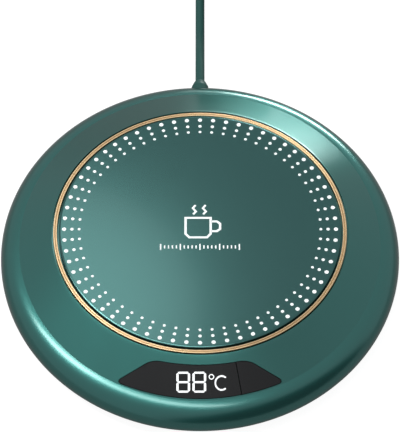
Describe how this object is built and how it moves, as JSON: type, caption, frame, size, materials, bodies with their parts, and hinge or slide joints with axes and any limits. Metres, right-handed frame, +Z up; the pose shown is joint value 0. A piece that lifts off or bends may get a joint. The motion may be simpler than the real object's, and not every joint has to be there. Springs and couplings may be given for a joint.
{
  "type": "electric mug warmer",
  "caption": "Low oval electric mug warmer with a round glass heating plate, a sloping display and push key, and a thin lead with a USB plug.",
  "frame": {"origin": "on the table, under the middle of the oval body", "axes": "+Z up, the display and key face -Y, the lead leaves at +Y"},
  "size_m": [0.1836, 0.2189, 0.0215],
  "materials": {
    "green_plastic": "satin moulded, pearl sheen",
    "green_glass": "polished, coloured on its underside, opaque",
    "gold_trim": "polished, pale gold",
    "black_gloss": "polished black",
    "black_plastic": "fine texture",
    "lit_white": "diffuse white",
    "foot_rubber": "matte",
    "gasket_silicone": "matte translucent grey",
    "spreader_aluminium": "mill finish",
    "heater_film": "amber film with an etched track",
    "insulation_felt": "needled felt",
    "screw_steel": "zinc plated",
    "circuit_board": "green lacquer",
    "switch_button": "smooth",
    "ribbon_grey": "ribbed flat cable",
    "wire_red": "smooth insulation",
    "cord_green": "smooth matte jacket",
    "tie_black": "satin band",
    "plug_nickel": "nickel plated",
    "contact_gold": "gold plated"
  },
  "bodies": {
    "housing": {"base_cover": "green_plastic", "control_board": "circuit_board", "control_board_screws": "screw_steel", "controller_chip": "black_plastic", "cord_clamp": "black_plastic", "cord_clamp_screws": "screw_steel", "cord_ties": "tie_black", "cutoff_leads": "plug_nickel", "display_board": "circuit_board", "display_board_screws": "screw_steel", "display_module": "black_plastic", "display_segments": "lit_white", "display_window": "black_gloss", "gold_trim_ring": "gold_trim", "heat_spreader": "spreader_aluminium", "heater_element": "heater_film", "heater_leads": "wire_red", "heater_retainer": "screw_steel", "heating_plate": "green_glass", "housing_screws": "screw_steel", "insulation_pad": "insulation_felt", "plate_gasket": "gasket_silicone", "plug_contacts": "contact_gold", "plug_insulator": "lit_white", "plug_overmould": "cord_green", "plug_shell": "plug_nickel", "power_cord_coil": "cord_green", "power_cord_end": "cord_green", "power_cord_inner": "cord_green", "power_cord_run": "cord_green", "power_leads": "wire_red", "power_transistor": "black_plastic", "retainer_screws": "screw_steel", "ribbon_cable": "ribbon_grey", "ribbon_socket": "lit_white", "rubber_feet": "foot_rubber", "sensor_leads": "wire_red", "smoothing_capacitor": "plug_nickel", "strain_relief": "cord_green", "tact_switch": "black_plastic", "temperature_sensor": "black_plastic", "terminal_block": "lit_white", "thermal_cutoff": "plug_nickel", "upper_housing": "green_plastic"},
    "button": {"mode_button": "black_gloss"},
    "plunger": {"switch_plunger": "switch_button"}
  },
  "joints": [
    {"name": "key_press", "type": "slide", "parent": "housing", "child": "button", "axis": [0, 0.5047, -0.8633], "range_m": [0, 0.0004], "stiffness_N_per_m": 400},
    {"name": "plunger_press", "type": "slide", "parent": "housing", "child": "plunger", "axis": [0, 0.5047, -0.8633], "range_m": [0, 0.0004]}
  ],
  "couplings": [
    {"joint": "plunger_press", "follows": "key_press", "ratio": 1}
  ]
}
